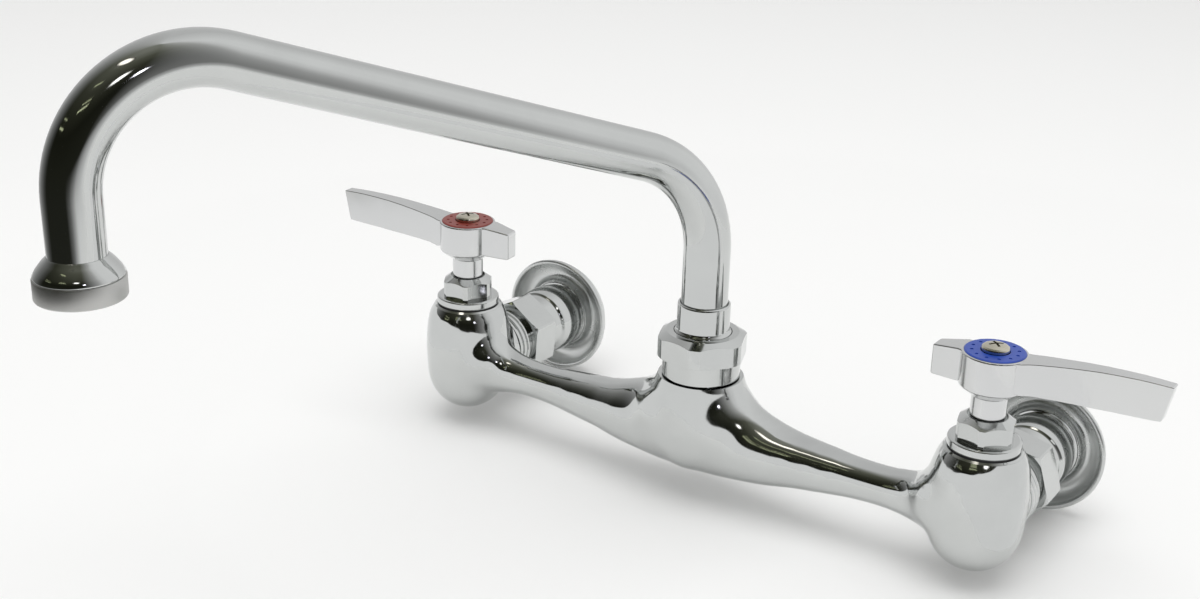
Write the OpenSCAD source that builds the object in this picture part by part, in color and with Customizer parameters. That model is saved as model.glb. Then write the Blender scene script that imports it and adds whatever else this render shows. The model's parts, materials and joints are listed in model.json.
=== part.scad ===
// Commercial wall faucet: two quarter-turn valves, one cast body and a swinging spout.
// The origin is on the wall, midway between the inlets and at their height.
// X runs from the hot side to the cold side, Y into the wall and Z up.

/* [Layout] */
// Distance between the two inlet centres
inlet_centres = 203.2; // [198:0.1:210]
// Distance from the wall to the valve axes
wall_gap = 65; // [63:0.5:75]

/* [Spout] */
// Distance from the swivel axis to the outlet axis
spout_reach = 203.2; // [150:0.1:310]
// Turn of the spout from straight out toward the hot side, in degrees
spout_turn = 25; // [-90:1:90]
// Slope of the long run above level, in degrees
spout_rise = 18; // [8:0.5:24]
// Outside diameter of the tube
tube_d = 15.875; // [15:0.005:16]
// Wall of the tube
tube_wall = 1.0; // [0.8:0.1:1.2]
// Centreline radius of the bend above the riser
riser_bend_r = 37.4; // [30:0.2:45]
// Centreline radius of the bend at the outlet
outlet_bend_r = 33.9; // [28:0.1:40]
// Height at which the riser starts to bend
riser_top = 65.7; // [60:0.1:90]
// Height of the outlet's lower edge
outlet_z = 85; // [82:0.5:88]

/* [Handles] */
// Reach of a lever from its axis
lever_reach = 53.6; // [48:0.1:75]
// Length of the short tail behind the axis
lever_tail = 18.2; // [15:0.2:24]
// Radius of a lever's hub
lever_hub_r = 10.2; // [10:0.1:11]
// Angle of the hot lever from closed, in degrees
hot_open = 0; // [0:5:90]
// Angle of the cold lever from closed, in degrees
cold_open = 0; // [0:5:90]

/* [Nuts] */
// Width across the flats of the spout nut
nut_flats = 28.6; // [28:0.1:29.2]
// Width across the flats of the coupling nuts
coupling_flats = 26.7; // [26.2:0.1:28]
// Width across the flats of a bonnet
bonnet_flats = 17; // [16.6:0.1:18.4]

/* [Wall flanges] */
// Outside radius of a wall flange
flange_r = 22.9; // [21:0.1:26]

/* [Hidden] */
$fn = 96;

hot = -1;
cold = 1;
valve_x = inlet_centres / 2;
eps = 0.01;
chrome = [0.80, 0.80, 0.82];
satin = [0.70, 0.70, 0.69];
brass = [0.78, 0.66, 0.36];
steel = [0.62, 0.63, 0.65];
rubber = [0.12, 0.12, 0.12];
ceramic = [0.92, 0.92, 0.90];
nylon = [0.88, 0.87, 0.80];

// Casting: valve barrels stand on Z, arms lie on X, rear bosses lie on Y
barrel_top = 23.3;
barrel_dome_z = -3;
barrel_dome_h = 15.9;
barrel_foot_r = 15.3;
barrel_waist_r = 15.8;
barrel_waist_z = 8;
barrel_shoulder_r = 14.8;
barrel_shoulder_z = 15.3;
barrel_mouth_r = 12.3;
chamber_r = 9.4;
chamber_floor = -3.5;
bonnet_thread_r = 9.7;
thread_gap = 0.08;
bonnet_thread_foot = 9;
seat_hole_r = 5.4;
well_floor = -12.5;
arm_inset = 13;
arm_root_z = -1.5;
arm_tilt = 1;
saddle_z = 4;
arm_bore_r = 4;
arm_bore_z = 0.8;
arm_bore_inset = 6;
inlet_cavity_r = 8;
inlet_cavity_front = 15.5;
feed_bore_r = 3.4;
feed_bore_start = [0, 2.5, -11];
feed_bore_tilt = 65;
feed_bore_l = 17;

// Centre hub and the swivel socket
hub_top = 21.0;
neck_r = 11.6;
neck_top = 31.3;
collar_r = 9.0;
swivel_gap = 0.05;
socket_floor = 12.5;
hub_well_r = 7;
hub_well_floor = -6;

// Spout nut, from its lower edge up
nut_skirt_r = 13.4;
nut_skirt_z = 21.5;
nut_hex_z = 28.2;
nut_top = 37.0;
nut_lip_z = 34.6;
nut_hole_r = 10.0;
nut_corner_r = 15.5;
nut_chamfer = [3.1, 1.8];
nut_turn = -70;

// Spout foot
collar_foot = 13.2;
collar_top = 47.3;
tube_seat = 40;
tube_r = tube_d / 2;
tube_bore_r = tube_r - tube_wall;
bend_thinning = 0.04;
bend_lap = 0.5;
braze_gap = 0.02;
ring_groove_r = 8.4;
collar_bead = [9.8, 34.75, 37.3];
collar_bead_cove = 1.1;
ring_z = 31.65;
ring_h = 2.6;
swivel_o_ring_z = [18.5, 25.5];
o_ring_r = 0.9;

// Tip and aerator, from the outlet's lower edge up
tip_shoulder = 6.2;
tip_cone_top = 11.8;
tip_r = 12.0;
tip_thread_r = 10.6;
tip_seat = 0.6;
aerator_r = 12.3;

// Inlet train, measured from the valve axis toward the wall
boss_r = 12.6;
boss_thread_r = 11.3;
boss_shoulder = 22;
boss_end = 33;
coupling_front = 25.6;
coupling_lip = 36.5;
coupling_back = 38.5;
coupling_hole_r = 10.0;
shank_front = 34.5;
shank_spigot_r = 9.8;
shank_shoulder = 39;
shank_neck_end = 45;
shank_seat_r = 13.0;
inlet_thread_r = 10.2;
inlet_thread_l = 14;
flange_neck_h = 5.8;
coupling_corner_r = 15.25;
coupling_turn = [-34, 48];

// Bonnet and cartridge heights on the valve axis
bonnet_flange_z = 23.7;
bonnet_flange_r = 11.5;
bonnet_hex_z = 26.6;
bonnet_top = 34.2;
bonnet_corner_r = 9.35;
bonnet_chamfer = [2.75, 2.0];
bonnet_turn = [-57.5, -77];
recess_r = 6.3;
recess_z = 32.6;
spindle_r = 3.5;
stem_bore_r = 3.56;
sleeve_r = 8.0;
sleeve_bore_r = 7.25;
sleeve_foot = -3.2;
sleeve_ceiling = 11.6;
disc_r = 7.15;
fixed_disc_z = -0.05;
moving_disc_z = 3.6;
disc_h = 3.55;
port_r = 2;
port_x = 3.9;
slot_w = 3.2;
slot_z = 6.0;
spline_r = 3.45;
spline_root_r = 3.15;
spline_teeth = 20;
spline_foot = 34;
spindle_top = 48;
spindle_flange_r = 6.9;
spindle_flange_z = 8;
spindle_flange_h = 3;
spindle_o_ring_z = [19, 27];
spindle_groove_r = 2.2;
spindle_groove_h = 1.5;
clip_h = 0.6;
clip_groove_r = 2.8;

// Lever heights on the valve axis
lever_neck_r = 5.57;
lever_neck_z = 33.7;
lever_cone_z = 41.6;
lever_cone_top = 44.4;
lever_top = 55.2;
lever_tip_top = 58.6;
lever_crown = 1.5;
lever_set = [6.5, 0.8];
lever_tip_bottom = 47.2;
index_r = 9.4;
index_z = 54.5;
index_h = 1.1;
screw_head_r = 4.3;
screw_head_h = 1.9;
screw_dome_h = 1.5;
screw_r = 1.6;

// The value of a hot and cold pair that belongs to one side
function pick(pair, side) = pair[side == hot ? 0 : 1];

// Points along an arc, or a flattened arc when the two radii differ
function arc(cx, cy, rx, ry, a0, a1, n) =
    [for (i = [0 : n]) let (a = a0 + (a1 - a0) * i / n) [cx + rx * cos(a), cy + ry * sin(a)]];

module on_valve(side) {
    translate([side * valve_x, -wall_gap, 0])
        children();
}

// Child drawn along Z comes out along the inlet axis, from the valve toward the wall
module on_inlet(side) {
    on_valve(side)
        rotate([-90, 0, 0])
            children();
}

// Child drawn with its lever along +X, turned to its place, with the small set it has when closed
module on_handle(side) {
    on_valve(side)
        rotate(side == hot ? 180 + lever_set[0] + hot_open : -lever_set[1] - cold_open)
            mirror([0, side == hot ? 1 : 0, 0])
                children();
}

module on_spout() {
    translate([0, -wall_gap, 0])
        rotate(-90 - spout_turn)
            children();
}

module ring(r_out, r_in, h) {
    difference() {
        cylinder(r = r_out, h = h);
        translate([0, 0, -1])
            cylinder(r = r_in, h = h + 2);
    }
}

module o_ring(centre_r, minor_r) {
    rotate_extrude()
        translate([centre_r, 0])
            circle(r = minor_r, $fn = 24);
}

// Hexagon prism whose corners are turned down to corner_r, with a turned chamfer at its top and,
// where foot is over zero, a steep one at its foot. The chamfers are given as depth and height.
module hex_prism(flats, corner_r, h, chamfer, foot) {
    intersection() {
        cylinder(r = flats / sqrt(3), h = h, $fn = 6);
        rotate_extrude()
            polygon([
                [0, 0],
                [corner_r - 2 * foot, 0],
                [corner_r, foot + eps],
                [corner_r, h - chamfer[1]],
                [corner_r - chamfer[0], h],
                [0, h]
            ]);
    }
}

// Casting
module barrel() {
    dome = arc(0, barrel_dome_z, barrel_foot_r, barrel_dome_h, -90, 0, 9);
    side = [for (i = [1 : 5]) let (t = i / 5)
        [barrel_foot_r + (barrel_waist_r - barrel_foot_r) * sin(90 * t),
         barrel_dome_z + (barrel_waist_z - barrel_dome_z) * t]];
    // Round up to the shoulder, then straight to the mouth
    shoulder = [for (i = [1 : 4]) let (t = i / 4)
        [barrel_waist_r - (barrel_waist_r - barrel_shoulder_r) * (1 - cos(90 * t)),
         barrel_waist_z + (barrel_shoulder_z - barrel_waist_z) * t]];
    rotate_extrude()
        polygon(concat(dome, side, shoulder, [
            [barrel_mouth_r, barrel_top - 0.6], [barrel_mouth_r - 0.5, barrel_top], [0, barrel_top]
        ]));
}

// Revolved outline laid along the row of the inlets, toward one side
module along_arm(side, root_z, tilt, outline) {
    translate([0, -wall_gap, root_z])
        rotate([0, side * (90 - tilt), 0])
            rotate_extrude()
                polygon(outline);
}

module arm(side) {
    reach = valve_x - arm_inset;
    // Radius, then distance from the middle: thinnest between the hub and the barrel
    along_arm(side, arm_root_z, arm_tilt, [
        [0, 0], [11.6, 0], [12.4, 5], [12.0, 14], [11.7, 18], [11.4, 22], [11.1, 26], [10.6, 30], [9.9, 35],
        [9.2, 40], [8.7, 45], [8.1, 50], [7.5, 55], [7.0, 60], [6.75, 66], [6.7, 71], [7.0, 76], [7.6, 80],
        [8.6, 84], [10.4, reach], [0, reach]
    ]);
    // Fillet over the arm's root, up to the hub
    along_arm(side, saddle_z, 0, [
        [0, 0], [15, 0], [14.6, 14], [12.7, 16], [11.2, 18], [9.9, 20], [8.9, 22.5], [8.0, 25], [7.0, 28],
        [6.0, 31], [4.6, 34], [0, 34]
    ]);
}

module hub() {
    bell = [[14.4, 17.5], [15.2, 15], [16.1, 11.5], [16.6, 7], [16.5, 3]];
    bowl = arc(0, 1, 16.3, 15.1, 0, -90, 10);
    translate([0, -wall_gap, 0]) {
        rotate_extrude()
            polygon(concat([[0, hub_top], [nut_skirt_r - 0.5, hub_top], [13.6, 19.8]], bell, bowl));
        cylinder(r = neck_r, h = neck_top);
    }
}

module rear_boss() {
    cylinder(r = boss_thread_r, h = boss_end);
    cylinder(r = boss_r, h = boss_shoulder);
    for (z = [16.2, 18.6, 21])
        translate([0, 0, z])
            cylinder(r = boss_r + 0.45, h = 1);
}

module valve_bores() {
    translate([0, 0, bonnet_thread_foot])
        cylinder(r = bonnet_thread_r + thread_gap, h = barrel_top);
    translate([0, 0, chamber_floor])
        cylinder(r = chamber_r, h = barrel_top);
    translate([0, 0, well_floor])
        cylinder(r = seat_hole_r, h = barrel_top);
    // Inlet cavity, then the slanted feed that runs down to the well under the seat
    rotate([-90, 0, 0])
        translate([0, 0, inlet_cavity_front])
            cylinder(r = inlet_cavity_r, h = boss_end);
    translate(feed_bore_start)
        rotate([-feed_bore_tilt, 0, 0])
            cylinder(r = feed_bore_r, h = feed_bore_l);
}

module cast_body() {
    color(chrome)
        difference() {
            union() {
                hub();
                for (side = [hot, cold]) {
                    arm(side);
                    on_valve(side)
                        barrel();
                    on_inlet(side)
                        rear_boss();
                }
            }
            for (side = [hot, cold])
                on_valve(side)
                    valve_bores();
            translate([arm_bore_inset - valve_x, -wall_gap, arm_bore_z])
                rotate([0, 90, 0])
                    cylinder(r = arm_bore_r, h = inlet_centres - 2 * arm_bore_inset);
            translate([0, -wall_gap, hub_well_floor])
                cylinder(r = hub_well_r, h = neck_top);
            translate([0, -wall_gap, socket_floor])
                cylinder(r = collar_r + swivel_gap, h = neck_top);
        }
}

// Swivel and spout
module spout_nut() {
    color(chrome)
        translate([0, -wall_gap, 0])
            rotate(nut_turn)
                difference() {
                    union() {
                        translate([0, 0, nut_skirt_z])
                            cylinder(r = nut_skirt_r, h = nut_hex_z - nut_skirt_z + 1);
                        translate([0, 0, nut_hex_z])
                            hex_prism(nut_flats, nut_corner_r, nut_top - nut_hex_z, nut_chamfer, 0.3);
                    }
                    translate([0, 0, nut_skirt_z - 1])
                        cylinder(r = neck_r + thread_gap, h = nut_lip_z - nut_skirt_z + 1);
                    cylinder(r = nut_hole_r, h = nut_top + 1);
                }
}

// Hollow bend in the XZ plane about the origin, a little thinner than the straight lengths,
// whose ends take up the small overlap at either end of its sweep
module bend_tube(bend_r, from_a, sweep) {
    rotate([90, 0, 0])
        rotate(from_a - bend_lap)
            rotate_extrude(angle = sweep + 2 * bend_lap)
                translate([bend_r, 0])
                    difference() {
                        circle(r = tube_r - bend_thinning);
                        circle(r = tube_bore_r + bend_thinning);
                    }
}

module spout_tube() {
    turn_1 = 90 - spout_rise;
    run_x = riser_bend_r * (1 - cos(turn_1));
    run_z = riser_top + riser_bend_r * sin(turn_1);
    crest_x = spout_reach - outlet_bend_r * (1 + sin(spout_rise));
    crest_z = run_z + (crest_x - run_x) * tan(spout_rise);
    drop_z = crest_z - outlet_bend_r * cos(spout_rise);
    tube_end = outlet_z + tip_shoulder + tip_seat;
    color(chrome)
        on_spout() {
            translate([0, 0, tube_seat])
                ring(tube_r, tube_bore_r, riser_top - tube_seat);
            translate([riser_bend_r, 0, riser_top])
                bend_tube(riser_bend_r, 180 - turn_1, turn_1);
            translate([run_x, 0, run_z])
                rotate([0, turn_1, 0])
                    ring(tube_r, tube_bore_r, (crest_x - run_x) / cos(spout_rise));
            translate([spout_reach - outlet_bend_r, 0, drop_z])
                bend_tube(outlet_bend_r, 0, 90 + spout_rise);
            translate([spout_reach, 0, tube_end])
                ring(tube_r, tube_bore_r, drop_z - tube_end);
        }
}

module spout_collar() {
    color(chrome)
        on_spout()
            difference() {
                rotate_extrude()
                    polygon([
                        [0, collar_foot],
                        [collar_r - 0.6, collar_foot],
                        [collar_r, collar_foot + 0.6],
                        [collar_r, collar_bead[1]],
                        [collar_bead[0], collar_bead[1]],
                        [collar_bead[0], collar_bead[2]],
                        [collar_r + 0.3, collar_bead[2] + collar_bead_cove * 0.4],
                        [collar_r, collar_bead[2] + collar_bead_cove],
                        [collar_r, collar_top - 0.8],
                        [collar_r - 0.7, collar_top],
                        [0, collar_top]
                    ]);
                translate([0, 0, collar_foot - 1])
                    cylinder(r = 6, h = 40);
                translate([0, 0, tube_seat])
                    cylinder(r = tube_r + braze_gap, h = 20);
                for (z = swivel_o_ring_z)
                    translate([0, 0, z - o_ring_r - 0.1])
                        ring(collar_r + 1, collar_r - 2 * o_ring_r, 2 * o_ring_r + 0.2);
                translate([0, 0, ring_z - 0.05])
                    ring(collar_r + 1, ring_groove_r, ring_h + 0.1);
            }
}

module spout_o_rings() {
    color(rubber)
        on_spout()
            for (z = swivel_o_ring_z)
                translate([0, 0, z])
                    o_ring(collar_r - o_ring_r - 0.01, o_ring_r - 0.02);
}

// Split ring in the collar's groove, held under the nut's lip
module spout_retaining_ring() {
    color(nylon)
        on_spout()
            translate([0, 0, ring_z])
                difference() {
                    ring(neck_r - 0.2, ring_groove_r + 0.02, ring_h);
                    translate([0, -1.25, -1])
                        cube([20, 2.5, ring_h + 2]);
                }
}

module on_outlet() {
    on_spout()
        translate([spout_reach, 0, outlet_z])
            children();
}

module spout_tip() {
    color(chrome)
        on_outlet()
            difference() {
                rotate_extrude()
                    polygon([
                        [0, 3],
                        [tip_thread_r, 3],
                        [tip_thread_r, tip_shoulder],
                        [tip_r, tip_shoulder],
                        [tip_r, tip_shoulder + 0.5],
                        [tube_r + 0.4, tip_cone_top - 0.4],
                        [tube_r + 0.1, tip_cone_top],
                        [0, tip_cone_top]
                    ]);
                cylinder(r = tube_bore_r, h = 20);
                translate([0, 0, tip_shoulder + tip_seat])
                    cylinder(r = tube_r + braze_gap, h = 20);
            }
}

module aerator_housing() {
    color(satin)
        on_outlet()
            difference() {
                rotate_extrude()
                    polygon([
                        [0, 0],
                        [aerator_r - 0.5, 0],
                        [aerator_r, 0.5],
                        [aerator_r, tip_shoulder - 0.4],
                        [aerator_r - 0.3, tip_shoulder - 0.1],
                        [0, tip_shoulder - 0.1]
                    ]);
                translate([0, 0, 0.9])
                    cylinder(r = tip_thread_r + thread_gap, h = 20);
                translate([0, 0, -1])
                    cylinder(r = 9, h = 20);
            }
}

module aerator_insert() {
    color(nylon)
        on_outlet()
            difference() {
                union() {
                    translate([0, 0, 0.95])
                        cylinder(r = 10.5, h = 0.8);
                    translate([0, 0, 0.2])
                        cylinder(r = 8.8, h = 1.5);
                }
                for (n = [1, 2], i = [0 : 6 * n - 1])
                    rotate(i * 60 / n)
                        translate([3.4 * n, 0, -1])
                            cylinder(r = 1.05, h = 4, $fn = 24);
                translate([0, 0, -1])
                    cylinder(r = 1.05, h = 4, $fn = 24);
            }
}

module aerator_screen() {
    color(steel)
        on_outlet()
            translate([0, 0, 1.8])
                cylinder(r = 10.4, h = 0.3);
}

module aerator_washer() {
    color(rubber)
        on_outlet()
            translate([0, 0, 2.15])
                ring(10.4, 7.6, 0.8);
}

// Valves
module bonnet(side) {
    color(chrome)
        on_valve(side)
            rotate(pick(bonnet_turn, side))
                difference() {
                    union() {
                        translate([0, 0, bonnet_hex_z])
                            hex_prism(bonnet_flats, bonnet_corner_r, bonnet_top - bonnet_hex_z,
                                bonnet_chamfer, 0);
                        rotate_extrude()
                            polygon([
                                [0, bonnet_flange_z],
                                [bonnet_flange_r - 0.5, bonnet_flange_z],
                                [bonnet_flange_r, bonnet_flange_z + 0.5],
                                [bonnet_flange_r, bonnet_hex_z - 0.9],
                                [bonnet_flange_r - 0.3, bonnet_hex_z - 0.25],
                                [bonnet_flange_r - 0.9, bonnet_hex_z + eps],
                                [0, bonnet_hex_z + eps]
                            ]);
                        translate([0, 0, bonnet_thread_foot + 1])
                            cylinder(r = bonnet_thread_r, h = bonnet_flange_z - bonnet_thread_foot);
                        translate([0, 0, sleeve_foot])
                            cylinder(r = sleeve_r, h = 20);
                    }
                    translate([0, 0, recess_z])
                        cylinder(r = recess_r, h = 10);
                    cylinder(r = stem_bore_r, h = 50);
                    translate([0, 0, sleeve_foot - 1])
                        cylinder(r = sleeve_bore_r, h = sleeve_ceiling - sleeve_foot + 1);
                    // Windows beside the moving disc let the water out to the chamber
                    for (a = [0, 90])
                        rotate(a)
                            translate([-20, -2.5, moving_disc_z])
                                cube([40, 5, disc_h]);
                }
}

module bonnet_gasket(side) {
    color(rubber)
        on_valve(side)
            translate([0, 0, barrel_top])
                ring(bonnet_flange_r - 0.3, bonnet_thread_r + 0.1, bonnet_flange_z - barrel_top);
}

module spline(tip_r, root_r, h) {
    linear_extrude(height = h)
        polygon([for (i = [0 : 2 * spline_teeth - 1])
            let (r = i % 2 == 0 ? tip_r : root_r, a = i * 180 / spline_teeth) [r * cos(a), r * sin(a)]]);
}

module spindle(side) {
    color(brass)
        on_handle(side)
            difference() {
                union() {
                    // Tang in the moving disc's slot
                    translate([-5.5, -slot_w / 2 + 0.05, slot_z + 0.05])
                        cube([11, slot_w - 0.1, spindle_flange_z + 1 - slot_z]);
                    translate([0, 0, spindle_flange_z])
                        cylinder(r = spindle_flange_r, h = spindle_flange_h);
                    translate([0, 0, spindle_flange_z])
                        cylinder(r = spindle_r, h = spline_foot + 1 - spindle_flange_z);
                    translate([0, 0, spline_foot])
                        spline(spline_r, spline_root_r, spindle_top - spline_foot);
                }
                translate([0, 0, spline_foot + 4])
                    cylinder(r = screw_r + 0.05, h = 20);
                for (z = spindle_o_ring_z)
                    translate([0, 0, z - spindle_groove_h / 2])
                        ring(spindle_r + 1, spindle_groove_r, spindle_groove_h);
                translate([0, 0, recess_z + 0.1])
                    ring(spindle_r + 1, clip_groove_r, clip_h + 0.2);
            }
}

module spindle_o_rings(side) {
    color(rubber)
        on_handle(side)
            for (z = spindle_o_ring_z)
                translate([0, 0, z])
                    o_ring(2.86, 0.62);
}

module thrust_washer(side) {
    foot = spindle_flange_z + spindle_flange_h + 0.02;
    color(nylon)
        on_handle(side)
            translate([0, 0, foot])
                ring(6.6, spindle_r + 0.05, sleeve_ceiling - 0.05 - foot);
}

module spindle_clip(side) {
    color(steel)
        on_handle(side)
            translate([0, 0, recess_z + 0.2])
                difference() {
                    ring(5.2, clip_groove_r + 0.05, clip_h);
                    translate([0, -1.4, -1])
                        cube([10, 2.8, 3]);
                }
}

module moving_disc(side) {
    color(ceramic)
        on_handle(side)
            difference() {
                translate([0, 0, moving_disc_z])
                    cylinder(r = disc_r, h = disc_h);
                translate([-10, -slot_w / 2, slot_z])
                    cube([20, slot_w, 5]);
                for (x = [-port_x, port_x])
                    translate([x, 0, 0])
                        cylinder(r = port_r, h = 20);
            }
}

module fixed_disc(side) {
    color(ceramic)
        on_valve(side)
            difference() {
                translate([0, 0, fixed_disc_z])
                    cylinder(r = disc_r, h = disc_h + 0.03);
                for (y = [-port_x, port_x])
                    translate([0, y, -5])
                        cylinder(r = port_r, h = 20);
            }
}

module seat_seal(side) {
    color(rubber)
        on_valve(side)
            translate([0, 0, chamber_floor])
                ring(disc_r, seat_hole_r + 0.2, fixed_disc_z - chamber_floor);
}

// Lever, drawn along +X
module lever_plan() {
    tip_w = 2.1;
    mid_w = 2.9;
    root_w = 4.6;
    fillet_r = 9;
    // Blade from the hub out, narrowing, with its far corners rounded
    polygon([
        [0, -root_w], [12, -root_w], [20, -3.8], [33, -mid_w], [44, -2.4], [lever_reach - 0.5, -tip_w],
        [lever_reach, -tip_w + 0.5], [lever_reach, tip_w - 0.5], [lever_reach - 0.5, tip_w],
        [44, 2.4], [33, mid_w], [20, 3.8], [12, root_w], [0, root_w]
    ]);
    circle(r = lever_hub_r);
    // Webs that draw the hub's sides into the blade
    for (s = [-1, 1])
        difference() {
            polygon([[4, 0], [4, s * lever_hub_r * 0.92], [15.5, s * 4.3], [15.5, 0]]);
            translate([15.6, s * (fillet_r + 4.25)])
                circle(r = fillet_r);
        }
    // Tail, narrower than the hub, with hollow corners between them
    polygon([[0, -6.4], [-lever_tail, -3.0], [-lever_tail, 3.0], [0, 6.4]]);
}

module lever_side() {
    n = 8;
    top = [for (i = [0 : n]) let (t = i / n)
        [lever_hub_r + (lever_reach - lever_hub_r) * t,
         lever_top + (lever_tip_top - lever_top) * t + lever_crown * sin(180 * t)]];
    under = [[lever_reach - 2, lever_tip_bottom], [lever_hub_r + 4, 45.6], [lever_hub_r, 44.9]];
    polygon(concat([[-lever_tail - 1, 53.9], [-lever_hub_r, lever_top]], top, under,
        [[-lever_hub_r, 44.4], [-lever_tail - 1, 43.8]]));
}

module lever_handle(side) {
    color(satin)
        on_handle(side)
            difference() {
                union() {
                    intersection() {
                        translate([0, 0, 40])
                            linear_extrude(height = 25)
                                lever_plan();
                        translate([0, 20, 0])
                            rotate([90, 0, 0])
                                linear_extrude(height = 40)
                                    lever_side();
                    }
                    rotate_extrude()
                        polygon([
                            [0, lever_neck_z],
                            [lever_neck_r - 0.4, lever_neck_z],
                            [lever_neck_r, lever_neck_z + 0.4],
                            [lever_neck_r, lever_cone_z - 0.4],
                            [lever_neck_r + 0.9, lever_cone_z],
                            [lever_hub_r, lever_cone_top],
                            [lever_hub_r, lever_top - 2],
                            [0, lever_top - 2]
                        ]);
                }
                translate([0, 0, lever_neck_z - 1])
                    spline(spline_r + 0.04, spline_root_r + 0.04, spindle_top + 1.3 - lever_neck_z);
                translate([0, 0, lever_neck_z - 1])
                    cylinder(r = spline_r + 0.1, h = 2.5);
                cylinder(r = screw_r + 0.4, h = 80);
                translate([0, 0, index_z])
                    cylinder(r = index_r + 0.05, h = 10);
            }
}

module index_ring(side, tint) {
    color(tint)
        on_handle(side)
            translate([0, 0, index_z])
                difference() {
                    rotate_extrude()
                        polygon([
                            [screw_head_r + 0.25, 0], [index_r, 0], [index_r, index_h - 0.3],
                            [index_r - 0.4, index_h], [screw_head_r + 0.25, index_h]
                        ]);
                    // Shallow dimples round the ring
                    for (i = [0 : 11])
                        rotate(i * 30)
                            translate([7.1, 0, index_h - 0.25])
                                cylinder(r = 0.55, h = 1, $fn = 16);
                }
}

module handle_screw(side) {
    dome = arc(0, screw_head_h, screw_head_r, screw_dome_h, 0, 90, 6);
    color(nylon)
        on_handle(side)
            translate([0, 0, index_z])
                difference() {
                    union() {
                        rotate_extrude()
                            polygon(concat([[0, 0], [screw_head_r, 0]], dome));
                        translate([0, 0, -12])
                            cylinder(r = screw_r, h = 12.5);
                    }
                    for (a = [45, 135])
                        rotate(a)
                            translate([-2.3, -0.4, screw_head_h + 0.3])
                                cube([4.6, 0.8, 3]);
                }
}

// Inlets
module coupling_nut(side) {
    color(chrome)
        on_inlet(side)
            rotate(-pick(coupling_turn, side))
                difference() {
                    translate([0, 0, coupling_front])
                        hex_prism(coupling_flats, coupling_corner_r, coupling_back - coupling_front,
                            [2.4, 1.0], 0.55);
                    cylinder(r = boss_thread_r + thread_gap, h = coupling_lip);
                    cylinder(r = coupling_hole_r, h = 60);
                }
}

module coupling_washer(side) {
    color(rubber)
        on_inlet(side)
            translate([0, 0, boss_end])
                ring(10.9, 8.1, shank_front - boss_end);
}

// Split ring in the shank's groove, which the nut's lip bears on
module nut_retaining_ring(side) {
    color(steel)
        on_inlet(side)
            translate([0, 0, coupling_lip - 1.05])
                difference() {
                    ring(11.1, 8.95, 1);
                    translate([0, -1.25, -1])
                        cube([20, 2.5, 3]);
                }
}

module inlet_shank(side) {
    bulge_end = wall_gap - flange_neck_h - 0.9;
    bulge = [for (i = [0 : 8]) let (t = i / 8)
        [12.5 + 0.8 * sin(180 * t), shank_neck_end + 0.5 + (bulge_end - shank_neck_end - 0.5) * t]];
    color(chrome)
        on_inlet(side)
            difference() {
                rotate_extrude()
                    polygon(concat(
                        [[0, shank_front], [shank_spigot_r, shank_front], [shank_spigot_r, shank_shoulder],
                         [11.2, shank_shoulder], [11.6, shank_shoulder + 0.4], [11.6, shank_neck_end]],
                        bulge,
                        [[12.1, bulge_end + 0.3], [12.1, bulge_end + 0.8], [shank_seat_r, bulge_end + 0.9],
                         [shank_seat_r, wall_gap], [0, wall_gap]]));
                translate([0, 0, shank_front - 1])
                    cylinder(r = 7.5, h = 50);
                translate([0, 0, wall_gap - inlet_thread_l])
                    cylinder(r = inlet_thread_r, h = 50);
                translate([0, 0, coupling_lip - 1.1])
                    ring(shank_spigot_r + 1, 8.9, 1.1);
            }
}

// Dished escutcheon: its rim stands forward of the floor that bears on the wall
module wall_flange(side) {
    bore_r = shank_seat_r + 0.05;
    rim = arc(flange_r - 0.9, 7.1, 0.9, 0.9, 0, 150, 5);
    dish = arc(16.4, 7.6, 5.2, 5.2, -20, -90, 6);
    foot = arc(16.4, 4.9, 2.5, 2.5, -90, -180, 5);
    color(chrome)
        on_inlet(side)
            translate([0, 0, wall_gap])
                mirror([0, 0, 1])
                    rotate_extrude()
                        polygon(concat(
                            [[bore_r, 0], [flange_r - 3.9, 0], [flange_r - 3.1, 1.0], [flange_r - 1.6, 3.2],
                             [flange_r - 0.4, 5.4]],
                            rim, dish, foot, [[13.5, flange_neck_h], [bore_r, flange_neck_h]]));
}

cast_body();
spout_nut();
spout_tube();
spout_collar();
spout_o_rings();
spout_retaining_ring();
spout_tip();
aerator_housing();
aerator_insert();
aerator_screen();
aerator_washer();
bonnet(hot);  // hot_bonnet
bonnet_gasket(hot);  // hot_bonnet_gasket
spindle(hot);  // hot_spindle
spindle_o_rings(hot);  // hot_spindle_o_rings
thrust_washer(hot);  // hot_thrust_washer
spindle_clip(hot);  // hot_spindle_clip
moving_disc(hot);  // hot_moving_disc
fixed_disc(hot);  // hot_fixed_disc
seat_seal(hot);  // hot_seat_seal
lever_handle(hot);  // hot_lever_handle
index_ring(hot, "firebrick");  // hot_index_ring
handle_screw(hot);  // hot_handle_screw
coupling_nut(hot);  // hot_coupling_nut
coupling_washer(hot);  // hot_coupling_washer
nut_retaining_ring(hot);  // hot_nut_retaining_ring
inlet_shank(hot);  // hot_inlet_shank
wall_flange(hot);  // hot_wall_flange
bonnet(cold);  // cold_bonnet
bonnet_gasket(cold);  // cold_bonnet_gasket
spindle(cold);  // cold_spindle
spindle_o_rings(cold);  // cold_spindle_o_rings
thrust_washer(cold);  // cold_thrust_washer
spindle_clip(cold);  // cold_spindle_clip
moving_disc(cold);  // cold_moving_disc
fixed_disc(cold);  // cold_fixed_disc
seat_seal(cold);  // cold_seat_seal
lever_handle(cold);  // cold_lever_handle
index_ring(cold, "royalblue");  // cold_index_ring
handle_screw(cold);  // cold_handle_screw
coupling_nut(cold);  // cold_coupling_nut
coupling_washer(cold);  // cold_coupling_washer
nut_retaining_ring(cold);  // cold_nut_retaining_ring
inlet_shank(cold);  // cold_inlet_shank
wall_flange(cold);  // cold_wall_flange
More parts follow.
